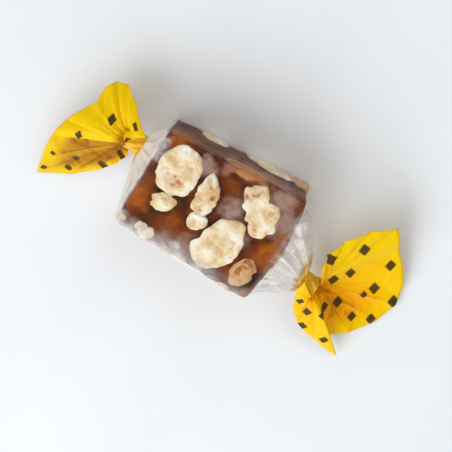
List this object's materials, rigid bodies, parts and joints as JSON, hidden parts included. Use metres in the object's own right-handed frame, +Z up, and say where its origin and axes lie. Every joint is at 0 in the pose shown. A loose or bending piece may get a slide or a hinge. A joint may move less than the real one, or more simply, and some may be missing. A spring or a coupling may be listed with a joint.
{
  "type": "twist-wrapped peanut nougat block",
  "caption": "Small oblong block of nut nougat in clear film, gathered and twisted at both ends into flared printed tails.",
  "frame": {"origin": "on the surface the sweet lies on, under the middle of its whole length and width with both tails", "axes": "+X along the block towards the fuller twist, +Y across it, +Z up"},
  "size_m": [0.0824, 0.0346, 0.0176],
  "materials": {
    "clear_film": "clear glossy film over a brown caramel nougat with cream peanuts, as one solid",
    "printed_film": "glossy film, printed yellow with small dark lozenges",
    "nougat": "brown caramel nougat, slightly translucent",
    "peanut": "cream to tan roasted peanut"
  },
  "bodies": {
    "root": {"wrapped_block": "clear_film", "twist_left": "printed_film", "twist_right": "printed_film"}
  },
  "joints": []
}
